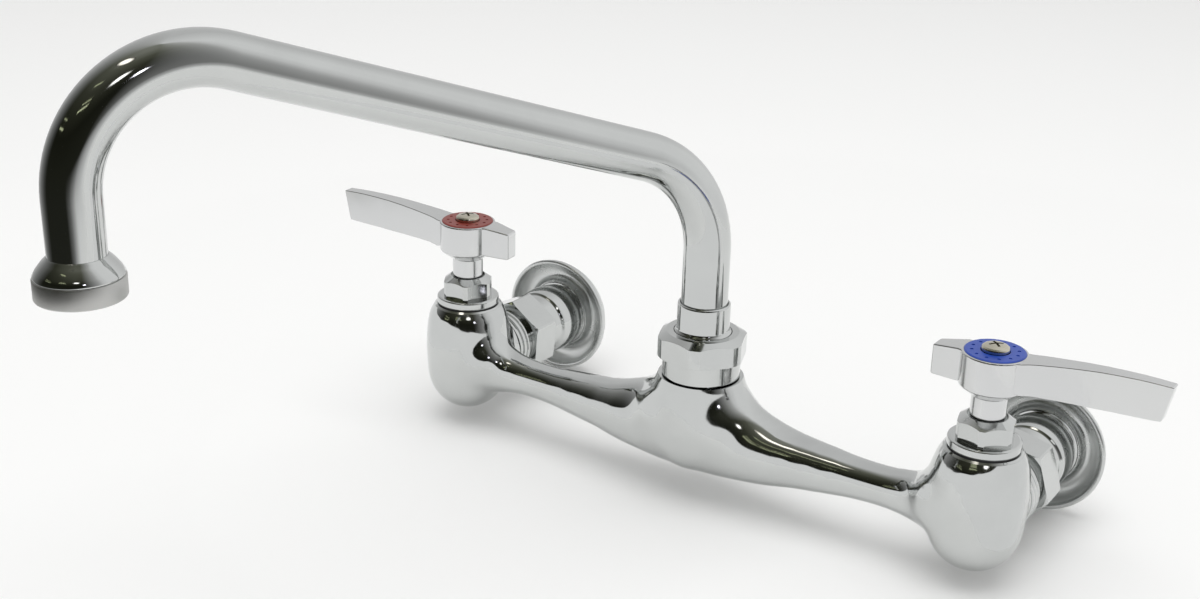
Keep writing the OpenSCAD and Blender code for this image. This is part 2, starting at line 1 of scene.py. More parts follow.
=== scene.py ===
import json
import math

import bpy
from mathutils import Matrix, Vector

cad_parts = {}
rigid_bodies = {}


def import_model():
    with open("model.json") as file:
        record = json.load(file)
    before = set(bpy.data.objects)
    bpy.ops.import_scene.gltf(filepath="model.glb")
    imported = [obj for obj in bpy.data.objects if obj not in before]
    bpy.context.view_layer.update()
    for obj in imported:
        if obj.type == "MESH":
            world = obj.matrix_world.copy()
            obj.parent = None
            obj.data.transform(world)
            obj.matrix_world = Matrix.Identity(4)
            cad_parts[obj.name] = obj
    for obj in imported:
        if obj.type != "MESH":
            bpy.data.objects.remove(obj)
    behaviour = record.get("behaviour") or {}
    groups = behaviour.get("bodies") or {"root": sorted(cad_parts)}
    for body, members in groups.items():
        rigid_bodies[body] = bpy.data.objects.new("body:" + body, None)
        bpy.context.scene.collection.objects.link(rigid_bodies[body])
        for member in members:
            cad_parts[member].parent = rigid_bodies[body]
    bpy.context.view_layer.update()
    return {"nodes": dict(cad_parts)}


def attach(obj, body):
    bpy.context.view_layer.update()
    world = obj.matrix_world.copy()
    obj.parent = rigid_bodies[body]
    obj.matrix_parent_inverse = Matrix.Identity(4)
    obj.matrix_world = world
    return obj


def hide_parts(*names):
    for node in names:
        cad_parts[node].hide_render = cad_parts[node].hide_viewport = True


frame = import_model()
mm = 0.001
sides = ("hot", "cold")
valveAxis = {"hot": Vector((-0.1016, -0.065, 0)), "cold": Vector((0.1016, -0.065, 0))}
riserAxis = Vector((0, -0.065, 0))
toWall = {side: Matrix.Translation(valveAxis[side]) @ Matrix.Rotation(math.radians(-90), 4, "X") for side in sides}
print("frame loaded,", len(frame["nodes"]), "CAD nodes")


# small tools

def colour(code):  # sRGB hex to linear
    parts = [int(code[i:i + 2], 16) / 255 for i in (1, 3, 5)]
    return tuple(c / 12.92 if c <= 0.04045 else ((c + 0.055) / 1.055) ** 2.4 for c in parts) + (1.0,)


def addNode(tree, kind, inputs=None, **settings):
    made = tree.nodes.new(kind)
    for key, value in settings.items():
        setattr(made, key, value)
    for key, value in (inputs or {}).items():
        if isinstance(value, bpy.types.NodeSocket):
            tree.links.new(value, made.inputs[key])
        else:
            made.inputs[key].default_value = value
    return made


def selectOnly(*pieces):
    if bpy.context.object and bpy.context.object.mode != "OBJECT":
        bpy.ops.object.mode_set(mode="OBJECT")
    bpy.ops.object.select_all(action="DESELECT")
    for piece in pieces:
        piece.select_set(True)
        bpy.context.view_layer.objects.active = piece


def named(name):
    piece = bpy.context.object
    piece.name = name
    piece.data.name = name
    return piece


def settle(piece, matrix=None):  # puts the piece's place into its mesh
    selectOnly(piece)
    if matrix is not None:
        piece.matrix_world = matrix @ piece.matrix_world
    bpy.ops.object.transform_apply(location=True, rotation=True, scale=True)
    return piece


def applyModifier(piece, kind, **settings):
    selectOnly(piece)
    bpy.ops.object.modifier_add(type=kind)
    added = piece.modifiers[-1]
    for key, value in settings.items():
        setattr(added, key, value)
    bpy.ops.object.modifier_apply(modifier=added.name)
    return piece


def mergeAndTurnOut():
    bpy.ops.mesh.select_all(action="SELECT")
    bpy.ops.mesh.remove_doubles(threshold=0.002 * mm)
    bpy.ops.mesh.normals_make_consistent(inside=False)


def turned(name, outline, steps=96, ring=False):
    # outline: radius and height in mm; ring closes the section on itself
    selectOnly()
    bpy.ops.mesh.primitive_plane_add(size=mm, location=(outline[0][0] * mm, 0, outline[0][1] * mm))
    piece = named(name)
    bpy.ops.object.mode_set(mode="EDIT")
    bpy.ops.mesh.merge(type="CENTER")
    for (r0, z0), (r1, z1) in zip(outline, outline[1:] + (outline[:1] if ring else [])):
        step = ((r1 - r0) * mm, 0, (z1 - z0) * mm)
        bpy.ops.mesh.extrude_vertices_move(TRANSFORM_OT_translate={"value": step})
    bpy.ops.mesh.select_all(action="SELECT")
    bpy.ops.mesh.spin(steps=steps, angle=math.tau, center=(0, 0, 0), axis=(0, 0, 1))
    mergeAndTurnOut()
    return settle(piece)


def bevelled(piece, width, angle=40, segments=2):  # soft edges, width in mm, where faces meet at more than the angle
    return applyModifier(piece, "BEVEL", width=width * mm, segments=segments, limit_method="ANGLE",
                         angle_limit=math.radians(angle), use_clamp_overlap=True)


def combined(piece, other, how="DIFFERENCE"):
    applyModifier(piece, "BOOLEAN", operation=how, object=other, solver="EXACT")
    selectOnly(other)
    bpy.ops.object.delete()
    return piece


def joined(name, *pieces):
    selectOnly(*pieces)
    bpy.ops.object.join()
    return named(name)


def flatsCut(piece, acrossFlats, low, high, turn):  # cuts six flats between two heights
    middle = (low + high) / 2 * mm
    tall = (high - low) * mm
    selectOnly()
    bpy.ops.mesh.primitive_cylinder_add(vertices=48, radius=22 * mm, depth=tall, location=(0, 0, middle))
    waste = settle(named("waste"))
    selectOnly()
    bpy.ops.mesh.primitive_cylinder_add(vertices=6, radius=acrossFlats / math.sqrt(3) * mm, depth=tall * 1.5,
                                        location=(0, 0, middle))
    core = settle(named("core"), Matrix.Rotation(math.radians(turn + 90), 4, "Z"))
    return combined(piece, combined(waste, core))


def smoothed(piece, angle=35):
    selectOnly(piece)
    bpy.ops.object.shade_smooth_by_angle(angle=math.radians(angle))
    return piece


def evenFlats(piece, width=0.2, angle=14):  # soft edges between flats that stay flat in reflections
    smoothed(bevelled(piece, width, angle, 2), 75)
    return applyModifier(piece, "WEIGHTED_NORMAL", keep_sharp=True, weight=80)


def ramp(value, start, end):  # 0 at start, 1 at end, soft between
    part = min(1, max(0, (value - start) / (end - start)))
    return part * part * (3 - 2 * part)


def arc(cx, cy, rx, ry, start, end, steps):
    angles = [math.radians(start + (end - start) * i / steps) for i in range(steps + 1)]
    return [(cx + rx * math.cos(a), cy + ry * math.sin(a)) for a in angles]


def rounded(points, parts=5):  # a smooth line through the points
    line = []
    for i in range(len(points) - 1):
        p = [Vector(points[min(max(i + k, 0), len(points) - 1)]) for k in (-1, 0, 1, 2)]
        for j in range(parts):
            u = j / parts
            near = p[1] + (p[2] - p[0]) * (u - 2 * u ** 2 + u ** 3) / 2 + (p[2] - p[1]) * (3 * u ** 2 - 2 * u ** 3)
            line.append(tuple(near + (p[3] - p[1]) * (u ** 3 - u ** 2) / 2))
    return line + [tuple(points[-1])]


def fit(piece, body, nodes, finish):  # hands a finished piece to the frame
    piece.data.materials.clear()
    piece.data.materials.append(finish)
    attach(piece, body)
    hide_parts(*nodes)
    return piece


# camera: solved from the two inlets, the tube and the nuts

cameraSet = {
    "place": (0.24615, -0.50087, 0.23947), "yaw": 33.49, "pitch": 21.08, "roll": 1.51,
    "lens": 47.6055, "sensor": 36, "near": 0.01,
}


def addCamera(s):
    yaw, pitch, roll = (math.radians(s[k]) for k in ("yaw", "pitch", "roll"))
    ahead = Vector((-math.sin(yaw) * math.cos(pitch), math.cos(yaw) * math.cos(pitch), -math.sin(pitch)))
    right = Vector((math.cos(yaw), math.sin(yaw), 0))
    above = right.cross(ahead)
    rolledRight = math.cos(roll) * right + math.sin(roll) * above
    rolledAbove = math.cos(roll) * above - math.sin(roll) * right
    turn = Matrix((rolledRight, rolledAbove, -ahead)).transposed().to_4x4()
    bpy.ops.object.camera_add()
    camera = bpy.context.object
    camera.matrix_world = Matrix.Translation(s["place"]) @ turn
    camera.data.lens = s["lens"]
    camera.data.sensor_width = s["sensor"]
    camera.data.clip_start = s["near"]
    bpy.context.scene.camera = camera


selectOnly()
addCamera(cameraSet)


# finishes

mixA, mixB, mixOut = 6, 7, 2  # a mix node's colour sockets come after its float and vector ones


def newFinish(name):
    finish = bpy.data.materials.new(name)
    finish.use_nodes = True
    tree = finish.node_tree
    tree.nodes.clear()
    shader = addNode(tree, "ShaderNodeBsdfPrincipled")
    addNode(tree, "ShaderNodeOutputMaterial", {"Surface": shader.outputs["BSDF"]})
    place = addNode(tree, "ShaderNodeTexCoord").outputs["Object"]
    return finish, tree, shader, place


def metalFinish(name, s):
    # a plated or turned metal: slow waves from polishing, fine lines, smudges in its gloss
    finish, tree, shader, place = newFinish(name)
    shader.inputs["Metallic"].default_value = 1
    waves = addNode(tree, "ShaderNodeTexNoise", {"Vector": place, "Scale": 1 / (s["waveMm"] * mm), "Detail": 1.0})
    stretch = addNode(tree, "ShaderNodeMapping", {"Vector": place, "Scale": s["lineRun"]})
    lines = addNode(tree, "ShaderNodeTexNoise", {"Vector": stretch.outputs[0], "Scale": 1 / (s["lineMm"] * mm),
                                                 "Detail": 3.0})
    smudge = addNode(tree, "ShaderNodeTexNoise", {"Vector": place, "Scale": 1 / (s["smudgeMm"] * mm), "Detail": 4.0,
                                                  "Roughness": 0.6})
    tint = addNode(tree, "ShaderNodeMix", {"Factor": smudge.outputs[0]}, data_type="RGBA")
    tint.inputs[mixA].default_value = colour(s["dark"])
    tint.inputs[mixB].default_value = colour(s["light"])
    tree.links.new(tint.outputs[mixOut], shader.inputs["Base Color"])
    gloss = addNode(tree, "ShaderNodeMapRange", {"Value": smudge.outputs[0], "From Min": 0.3, "From Max": 0.7,
                                                 "To Min": s["gloss"][0], "To Max": s["gloss"][1]})
    tree.links.new(gloss.outputs[0], shader.inputs["Roughness"])
    lineBump = addNode(tree, "ShaderNodeBump", {"Height": lines.outputs[0], "Strength": s["lineStrength"],
                                                "Distance": s["lineDepth"] * mm})
    waveBump = addNode(tree, "ShaderNodeBump", {"Height": waves.outputs[0], "Strength": s["waveStrength"],
                                                "Distance": s["waveDepth"] * mm, "Normal": lineBump.outputs[0]})
    tree.links.new(waveBump.outputs[0], shader.inputs["Normal"])
    return finish


metals = {
    # bright chrome over polished cast brass: mirror gloss, slightly wavy
    "chromePlate": {"dark": "#C4C6C5", "light": "#CFD1D0", "waveMm": 16, "waveDepth": 0.03, "waveStrength": 0.2,
                    "lineRun": (1, 1, 0.08), "lineMm": 0.25, "lineDepth": 0.004, "lineStrength": 0.3,
                    "smudgeMm": 14, "gloss": (0.045, 0.11)},
    # bright chrome over drawn brass tube: straighter and glossier than the casting
    "chromeTube": {"dark": "#C4C6C5", "light": "#CFD1D0", "waveMm": 22, "waveDepth": 0.04, "waveStrength": 0.25,
                   "lineRun": (0.3, 0.3, 1), "lineMm": 0.3, "lineDepth": 0.003, "lineStrength": 0.25,
                   "smudgeMm": 18, "gloss": (0.04, 0.09)},
    # satin chrome: fine blasted grain under the plating, soft reflections
    "satinPlate": {"dark": "#BEBEBC", "light": "#CACAC8", "waveMm": 4, "waveDepth": 0.02, "waveStrength": 0.3,
                   "lineRun": (1, 1, 1), "lineMm": 0.2, "lineDepth": 0.02, "lineStrength": 0.4,
                   "smudgeMm": 8, "gloss": (0.4, 0.48)},
    # polished cast lever under chrome: lighter and hazier than the body
    "chromeLever": {"dark": "#D3D4D4", "light": "#DCDDDD", "waveMm": 7, "waveDepth": 0.03, "waveStrength": 0.3,
                    "lineRun": (0.2, 1, 1), "lineMm": 0.25, "lineDepth": 0.004, "lineStrength": 0.3,
                    "smudgeMm": 10, "gloss": (0.14, 0.22)},
    # pressed flange: chrome on a brushed surface, its reflections run together
    "chromeFlange": {"dark": "#C6C8C7", "light": "#D2D4D3", "waveMm": 8, "waveDepth": 0.05, "waveStrength": 0.35,
                     "lineRun": (1, 1, 1), "lineMm": 0.3, "lineDepth": 0.006, "lineStrength": 0.3,
                     "smudgeMm": 12, "gloss": (0.24, 0.33)},
    # bright nickel screw: warmer than chrome, turned face
    "nickelPlate": {"dark": "#C2BDAE", "light": "#CFCABB", "waveMm": 2, "waveDepth": 0.01, "waveStrength": 0.3,
                    "lineRun": (1, 1, 1), "lineMm": 0.12, "lineDepth": 0.006, "lineStrength": 0.3,
                    "smudgeMm": 3, "gloss": (0.14, 0.24)},
    # machined brass inside the valves: fine turning lines round the axis
    "machinedBrass": {"dark": "#B69C58", "light": "#C6AF6E", "waveMm": 6, "waveDepth": 0.01, "waveStrength": 0.2,
                      "lineRun": (0.1, 0.1, 1), "lineMm": 0.15, "lineDepth": 0.008, "lineStrength": 0.5,
                      "smudgeMm": 5, "gloss": (0.22, 0.34)},
    # spring and wire steel: drawn grey surface
    "drawnSteel": {"dark": "#94969A", "light": "#A8AAAD", "waveMm": 3, "waveDepth": 0.01, "waveStrength": 0.2,
                   "lineRun": (1, 0.1, 1), "lineMm": 0.15, "lineDepth": 0.006, "lineStrength": 0.4,
                   "smudgeMm": 4, "gloss": (0.28, 0.4)},
}
finishes = {name: metalFinish(name, settings) for name, settings in metals.items()}


def mouldedFinish(name, s):
    # plastic, rubber or fired ceramic: slight mottling and a fine surface grain
    finish, tree, shader, place = newFinish(name)
    shader.inputs["IOR"].default_value = s["ior"]
    grain = addNode(tree, "ShaderNodeTexNoise", {"Vector": place, "Scale": 1 / (s["grainMm"] * mm), "Detail": 3.0})
    mottle = addNode(tree, "ShaderNodeTexNoise", {"Vector": place, "Scale": 1 / (s["mottleMm"] * mm), "Detail": 2.0})
    tint = addNode(tree, "ShaderNodeMix", {"Factor": mottle.outputs[0]}, data_type="RGBA")
    tint.inputs[mixA].default_value = colour(s["dark"])
    tint.inputs[mixB].default_value = colour(s["light"])
    tree.links.new(tint.outputs[mixOut], shader.inputs["Base Color"])
    gloss = addNode(tree, "ShaderNodeMapRange", {"Value": grain.outputs[0], "To Min": s["gloss"][0],
                                                 "To Max": s["gloss"][1]})
    tree.links.new(gloss.outputs[0], shader.inputs["Roughness"])
    bump = addNode(tree, "ShaderNodeBump", {"Height": grain.outputs[0], "Strength": s["grainStrength"],
                                            "Distance": s["grainDepth"] * mm})
    tree.links.new(bump.outputs[0], shader.inputs["Normal"])
    return finish


moulded = {
    # ABS index ring, dark red: moulded with a light sheen
    "redRing": {"dark": "#74281F", "light": "#88352B", "ior": 1.53, "grainMm": 0.4, "grainDepth": 0.02,
                "grainStrength": 0.3, "mottleMm": 5, "gloss": (0.3, 0.42)},
    # ABS index ring, blue
    "blueRing": {"dark": "#183C96", "light": "#234AAE", "ior": 1.53, "grainMm": 0.4, "grainDepth": 0.02,
                 "grainStrength": 0.3, "mottleMm": 5, "gloss": (0.3, 0.42)},
    # nitrile rubber seal: matt black with a moulded bloom
    "nitrileRubber": {"dark": "#1B1B1C", "light": "#262627", "ior": 1.52, "grainMm": 0.3, "grainDepth": 0.02,
                      "grainStrength": 0.4, "mottleMm": 3, "gloss": (0.55, 0.75)},
    # lapped alumina disc: white and even, with a slight sheen
    "laidCeramic": {"dark": "#E6E5DF", "light": "#F0EFEA", "ior": 1.76, "grainMm": 0.2, "grainDepth": 0.005,
                    "grainStrength": 0.2, "mottleMm": 4, "gloss": (0.12, 0.2)},
    # natural nylon: cream, slightly waxy
    "naturalNylon": {"dark": "#DAD6C4", "light": "#E6E2D2", "ior": 1.53, "grainMm": 0.3, "grainDepth": 0.01,
                     "grainStrength": 0.3, "mottleMm": 4, "gloss": (0.4, 0.52)},
}
finishes.update({name: mouldedFinish(name, settings) for name, settings in moulded.items()})
print("finishes made:", len(finishes))


# cast body: barrels, arms, hub and bosses, blended as the casting is

castSet = {
    "grid": 1.1,  # remesh size in mm
    "evenPasses": 12,  # smoothing everywhere
    "filletPasses": 82,  # smoothing where the arms and bosses meet the barrels and the hub
    "fill": 0.9,  # gives back what the long smoothing takes off
    "arm": [(11.6, 0), (12.4, 5), (12.0, 14), (11.4, 22), (10.6, 30), (9.2, 40), (8.1, 50), (7.0, 60), (6.7, 70),
            (7.2, 77), (8.6, 84), (10.4, 88.6)],
    "saddle": [(15, 0), (14.6, 12), (13.0, 15.5), (11.2, 18), (9.6, 20.5), (8.0, 25), (6.2, 30.5), (4.0, 36)],
    "armZ": -1.5, "armTilt": 1, "saddleZ": 4,  # where they start on the riser's axis
    "rootR": 11, "rootAt": (9.4, -2.6, 3.2),  # the swelling where an arm runs into its barrel
    "bossR": 12.6, "bossEnd": 20,
    "settlePasses": 6,  # after the finer skin is made
    # machined after casting: the valve chamber, the inlet boss with its ribs, the hub's socket and its neck
    "chamber": [(0, -3.5), (9.4, -3.5), (9.4, 9), (9.78, 9), (9.78, 23.3), (11.8, 23.3), (12.4, 22.7), (20, 22.7),
                (20, 30), (0, 30)],
    "boss": [(0, 10), (10, 10), (12.6, 13), (12.6, 16.0), (13.05, 16.2), (13.05, 17.2), (12.6, 17.4), (12.6, 18.4),
             (13.05, 18.6), (13.05, 19.6), (12.6, 19.8), (12.6, 20.8), (13.05, 21.0), (13.05, 21.8), (12.8, 22.0),
             (11.3, 22.0), (11.3, 33), (8, 33), (8, 15.5), (0, 15.5)],
    "socket": [(0, -6), (7, -6), (7, 12.5), (9.05, 12.5), (9.05, 31.3), (20, 31.3), (20, 40), (0, 40)],
    "neck": [(11.6, 21.0), (20, 21.0), (20, 33), (11.6, 33)],
}


def barrelBlank(name):
    dome = arc(0, -3, 15.3, 15.9, -90, 0, 12)
    side = [(15.3 + 0.5 * math.sin(math.radians(90 * i / 5)), -3 + 11 * i / 5) for i in range(1, 6)]
    shoulder = rounded([(15.8, 8), (15.2, 15.0), (14.6, 18.6), (13.8, 20.8), (12.5, 22.7)])[1:]
    return turned(name, dome + side + shoulder + [(10.6, 26), (0, 26)])


def hubBlank():
    bell = rounded([(13.9, 22), (14.6, 18.5), (15.5, 14), (16.1, 9), (16.5, 4), (16.3, 1)])
    return turned("hub", [(0, 32), (13.8, 32)] + bell + arc(0, 1, 16.3, 15.1, 0, -90, 12)[1:])


def armRoot(radius, side, x, y, z):
    inward = -x if side == "cold" else x
    selectOnly()
    bpy.ops.mesh.primitive_uv_sphere_add(segments=48, ring_count=24, radius=radius * mm)
    place = Matrix.Translation(valveAxis[side]) @ Matrix.Translation((inward * mm, y * mm, z * mm))
    return settle(named("armRoot"), place)


def layAlongArm(piece, side, rootZ, tilt):
    reach = 1 if side == "cold" else -1
    lie = Matrix.Rotation(math.radians(reach * (90 - tilt)), 4, "Y")
    return settle(piece, Matrix.Translation(riserAxis + Vector((0, 0, rootZ * mm))) @ lie)


def filletWeight(x, y, z):  # how much of the long smoothing a point gets, from its place about the riser in mm
    nearHub = (0.45 + 0.55 * ramp(x, 3, 12)) * ramp(x, 46, 27) * ramp(z, 24, 19)
    nearBarrel = 0.5 * ramp(x, 74, 82) * ramp(x, 100, 94) * ramp(z, 20, 15) * ramp(z, -9, -2)
    nearBoss = 0.3 * ramp(x, 80, 84) * ramp(y, 3, 6)
    alongArm = 0.35 * ramp(x, 16, 26) * ramp(x, 90, 82)
    return max(nearHub, nearBarrel, nearBoss, alongArm)


def buildCastBody(s):
    blanks = [settle(hubBlank(), Matrix.Translation(riserAxis))]
    for side in sides:
        blanks.append(settle(barrelBlank("barrel"), Matrix.Translation(valveAxis[side])))
        boss = turned("boss", [(0, 0), (s["bossR"], 0), (s["bossR"], s["bossEnd"]), (0, s["bossEnd"])])
        blanks.append(settle(boss, toWall[side]))
        blanks.append(armRoot(s["rootR"], side, *s["rootAt"]))
        arm = turned("arm", [(0, -6)] + rounded(s["arm"]) + [(0, 92)])
        blanks.append(layAlongArm(arm, side, s["armZ"], s["armTilt"]))
        saddle = turned("saddle", [(0, -2)] + rounded(s["saddle"]) + [(0, 36)])
        blanks.append(layAlongArm(saddle, side, s["saddleZ"], 0))
    body = joined("castBody", *blanks)
    applyModifier(body, "REMESH", mode="VOXEL", voxel_size=s["grid"] * mm, adaptivity=0.0)
    fillets = body.vertex_groups.new(name="fillets")
    for v in body.data.vertices:
        weight = filletWeight(abs(v.co.x) / mm, (v.co.y + 0.065) / mm, v.co.z / mm)
        if weight > 0:
            fillets.add([v.index], weight, "REPLACE")
    applyModifier(body, "SMOOTH", factor=0.5, iterations=s["evenPasses"])
    applyModifier(body, "SMOOTH", factor=0.5, iterations=s["filletPasses"], vertex_group="fillets")
    applyModifier(body, "DISPLACE", strength=s["fill"] * mm, mid_level=0, vertex_group="fillets")
    body.vertex_groups.clear()
    applyModifier(body, "SUBSURF", levels=1)
    applyModifier(body, "SMOOTH", factor=0.5, iterations=s["settlePasses"])
    for side in sides:
        combined(body, settle(turned("chamber", s["chamber"]), Matrix.Translation(valveAxis[side])))
        combined(body, settle(turned("turnedBoss", s["boss"]), toWall[side]), "UNION")
    combined(body, settle(turned("socket", s["socket"]), Matrix.Translation(riserAxis)))
    combined(body, settle(turned("neck", s["neck"], ring=True), Matrix.Translation(riserAxis)))
    return smoothed(body, 40)


castBody = fit(buildCastBody(castSet), "faucet_body", ["cast_body"], finishes["chromePlate"])
print("cast body:", len(castBody.data.polygons), "faces")


# spout: nut, collar, bent tube, tip and aerator

spoutSet = {
    "turn": -115,  # degrees about the riser, out over the sink toward the hot side
    "tubeR": 7.9375, "wall": 1.0, "riserFoot": 40, "riserTop": 65.7, "riserBend": 37.4, "riserSweep": 72,
    "run": 139.83, "outletBend": 33.9, "outletSweep": 108, "drop": 20.44, "around": 64,
    "reach": 203.2, "outletZ": 85, "outletBendZ": 112.24,
}
spoutPlace = Matrix.Translation(riserAxis) @ Matrix.Rotation(math.radians(spoutSet["turn"]), 4, "Z")
outletPlace = spoutPlace @ Matrix.Translation((spoutSet["reach"] * mm, 0, spoutSet["outletZ"] * mm))


def buildTube(s):
    selectOnly()
    bpy.ops.mesh.primitive_circle_add(vertices=s["around"], radius=s["tubeR"] * mm, fill_type="NOTHING",
                                      location=(0, 0, s["riserFoot"] * mm))
    tube = named("spoutTube")
    bpy.ops.object.mode_set(mode="EDIT")
    bpy.ops.mesh.select_all(action="SELECT")
    slope = math.radians(90 - s["riserSweep"])

    def straight(dx, dz, pieces):
        for _ in range(pieces):
            move = (dx / pieces * mm, 0, dz / pieces * mm)
            bpy.ops.mesh.extrude_edges_move(TRANSFORM_OT_translate={"value": move})

    straight(0, s["riserTop"] - s["riserFoot"], 3)
    firstCentre = (s["riserBend"] * mm, 0, s["riserTop"] * mm)
    bpy.ops.mesh.spin(steps=24, angle=math.radians(s["riserSweep"]), center=firstCentre, axis=(0, -1, 0))
    straight(s["run"] * math.cos(slope), s["run"] * math.sin(slope), 12)
    secondCentre = ((s["reach"] - s["outletBend"]) * mm, 0, s["outletBendZ"] * mm)
    bpy.ops.mesh.spin(steps=32, angle=math.radians(s["outletSweep"]), center=secondCentre, axis=(0, -1, 0))
    straight(0, -s["drop"], 2)
    mergeAndTurnOut()
    settle(tube, spoutPlace)
    applyModifier(tube, "SOLIDIFY", thickness=s["wall"] * mm, offset=-1)
    return smoothed(tube, 50)


fit(buildTube(spoutSet), "spout", ["spout_tube"], finishes["chromeTube"])

spoutTurned = {
    # the collar, on the tube's foot; its lower part stands in the hub's socket
    "spoutCollar": [(6, 13.2), (9.0, 13.2), (9.0, 34.75), (9.7, 34.75), (9.8, 34.85), (9.8, 36.9), (9.7, 37.2),
                    (9.32, 37.5), (9.1, 37.9), (9.0, 38.4), (9.0, 46.5), (8.9, 47.0), (8.5, 47.3), (8.25, 47.25),
                    (7.96, 46.8), (7.96, 40), (6, 40)],
    # the tip, brazed on the tube's end; its lower part is the spigot for the aerator
    "spoutTip": [(6.94, 0.6), (10.6, 0.6), (10.6, 6.2), (12.0, 6.2), (12.0, 6.7), (11.2, 8.1), (10.3, 9.3),
                 (9.3, 10.5), (8.34, 11.4), (8.04, 11.8), (7.96, 11.8), (7.96, 6.8), (6.94, 6.8)],
    "aeratorHousing": [(9, 0), (11.8, 0), (12.15, 0.15), (12.3, 0.5), (12.3, 5.7), (12.2, 5.98), (12.0, 6.1),
                       (10.68, 6.1), (10.68, 0.9), (9, 0.9)],
}
for name, place, node, slotName, finishName in (
        ("spoutCollar", Matrix.Translation(riserAxis), "spout_collar", "chrome", "chromePlate"),
        ("spoutTip", outletPlace, "spout_tip", "chrome", "chromePlate"),
        ("aeratorHousing", outletPlace, "aerator_housing", "satin_chrome", "satinPlate")):
    piece = settle(turned(name, spoutTurned[name], ring=True), place)
    fit(smoothed(bevelled(piece, 0.15)), "spout", [node], finishes[finishName])

# a nut's flats are cut from its outline between two heights
nutSet = {
    "flats": 28.6, "cut": (28.2, 40), "turn": -70,
    "outline": [(11.68, 21.5), (13.4, 21.5), (13.4, 28.2), (14.9, 28.2), (15.5, 28.5), (15.5, 35.2), (12.4, 37.0),
                (10.0, 37.0), (10.0, 34.6), (11.68, 34.6)],
}


def buildSpoutNut(s):
    nut = turned("spoutNut", s["outline"], 120, ring=True)
    flatsCut(nut, s["flats"], *s["cut"], s["turn"])
    return evenFlats(settle(nut, Matrix.Translation(riserAxis)))


fit(buildSpoutNut(nutSet), "faucet_body", ["spout_nut"], finishes["chromePlate"])
print("spout pieces done")


# bonnets on the valves

bonnetSet = {
    "flats": 17, "cut": (26.6, 40), "turn": {"hot": -57.5, "cold": -77},
    "outline": [(7.25, -3.2), (8.0, -3.2), (8.0, 9), (9.7, 9), (9.7, 23.7), (11.0, 23.7), (11.35, 23.85),
                (11.5, 24.2), (11.5, 25.7), (11.42, 26.1), (11.2, 26.35), (10.6, 26.6), (9.35, 26.6), (9.35, 32.2),
                (6.6, 34.2), (6.3, 34.2), (6.3, 32.6), (3.56, 32.6), (3.56, 11.6), (7.25, 11.6)],
}


def buildBonnet(side, s):
    bonnet = turned(side + "Bonnet", s["outline"], 120, ring=True)
    flatsCut(bonnet, s["flats"], *s["cut"], s["turn"][side])
    return evenFlats(settle(bonnet, Matrix.Translation(valveAxis[side])), 0.15)


for side in sides:
    fit(buildBonnet(side, bonnetSet), "faucet_body", [side + "_bonnet"], finishes["chromePlate"])


# inlets: coupling nut, shank and wall flange

inletSet = {
    "nutFlats": 26.7, "nutCut": (20, 45), "nutTurn": {"hot": -34, "cold": 48},  # the turn is in the inlet's frame
    "nut": [(11.38, 25.6), (14.15, 25.6), (15.25, 26.15), (15.25, 37.5), (12.85, 38.5), (10.0, 38.5), (10.0, 36.5),
            (11.38, 36.5)],
    "shank": [(7.5, 34.5), (9.8, 34.5), (9.8, 39), (11.2, 39), (11.6, 45), (12.0, 45.5)]
    + [(12.5 + 0.8 * math.sin(math.pi * i / 10), 45.9 + 12.4 * i / 10) for i in range(11)]
    + [(12.1, 58.6), (12.1, 59.1), (13.0, 59.2), (13.0, 65), (10.2, 65), (10.2, 51), (7.5, 51)],
    "flange": [(13.05, 0), (19.0, 0), (19.8, 1.0), (21.3, 3.2), (22.5, 5.4)] + arc(22.0, 7.1, 0.9, 0.9, 0, 150, 7)
    + arc(16.4, 7.6, 5.2, 5.2, -20, -90, 8) + arc(16.4, 4.9, 2.5, 2.5, -90, -180, 6) + [(13.5, 5.8), (13.05, 5.8)],
}


def buildCouplingNut(side, s):
    nut = turned(side + "CouplingNut", s["nut"], 120, ring=True)
    flatsCut(nut, s["nutFlats"], *s["nutCut"], -s["nutTurn"][side])
    return evenFlats(settle(nut, toWall[side]))


for side in sides:
    fit(buildCouplingNut(side, inletSet), "faucet_body", [side + "_coupling_nut"], finishes["chromePlate"])
    shank = bevelled(turned(side + "InletShank", inletSet["shank"], ring=True), 0.2, 30)
    fit(smoothed(settle(shank, toWall[side])), "faucet_body", [side + "_inlet_shank"],
        finishes["chromePlate"])
    fromWall = Matrix.Translation((valveAxis[side].x, 0, 0)) @ Matrix.Rotation(math.radians(90), 4, "X")
    flange = bevelled(turned(side + "WallFlange", inletSet["flange"], ring=True), 0.15, 35)
    fit(smoothed(settle(flange, fromWall), 60), "faucet_body", [side + "_wall_flange"],
        finishes["chromeFlange"])
print("inlets done")


# lever handles

